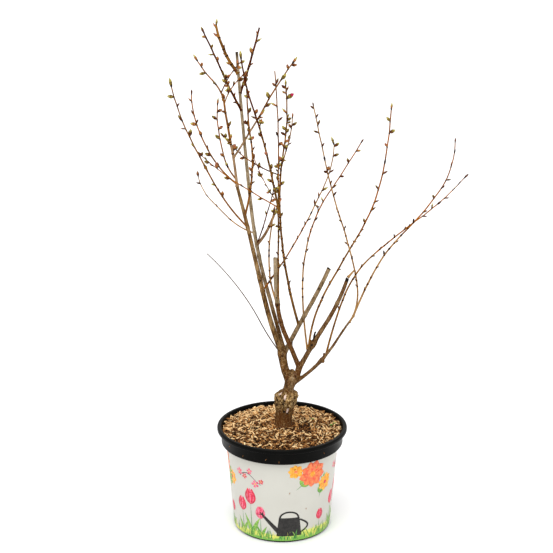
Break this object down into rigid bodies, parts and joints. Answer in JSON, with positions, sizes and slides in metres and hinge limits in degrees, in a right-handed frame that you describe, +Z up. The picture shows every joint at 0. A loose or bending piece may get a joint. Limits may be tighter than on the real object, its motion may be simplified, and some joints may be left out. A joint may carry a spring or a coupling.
{
  "type": "potted flowering cherry tree",
  "caption": "Young grafted flowering cherry, leafless and in swelling bud, with pruned stubs and thin shoots, in a flanged round nursery pot with a printed sleeve and wood-chip mulch.",
  "frame": {"origin": "middle of the pot's flat underside, on the floor", "axes": "+Z up along the trunk, +X to the viewer's right as pictured, +Y to the back"},
  "size_m": [0.6102, 0.3581, 1.0824],
  "materials": {
    "pot": "satin black moulded plastic",
    "label": null,
    "mulch": "shredded golden-tan wood chips",
    "bark": "grey-brown bark with darker lenticels",
    "twigs": "smooth brown young bark with swelling buds"
  },
  "bodies": {
    "root": {"pot": "pot", "label_sleeve": "label", "mulch": "mulch", "trunk": "bark", "stem_left": "bark", "stem_right": "bark", "bough_outer_left": "bark", "bough_leader": "bark", "bough_crossing": "bark", "bough_low_right": "bark", "stub_inner_right": "bark", "stub_outer_right": "bark", "stub_upright": "bark", "twigs_outer_left": "twigs", "twigs_far_left": "twigs", "twigs_low_left": "twigs", "twigs_inner_left": "twigs", "twigs_across": "twigs", "twigs_leader_side": "twigs", "twigs_top_right": "twigs", "twigs_top_left": "twigs", "twigs_top_middle": "twigs", "twigs_centre": "twigs", "twigs_centre_left": "twigs", "twigs_centre_right": "twigs", "twigs_back_right": "twigs", "twigs_right": "twigs", "twigs_far_right": "twigs", "twigs_outer_right": "twigs", "twigs_front_right": "twigs", "twig_dead_wire": "twigs", "twig_stub_end": "twigs"}
  },
  "joints": []
}
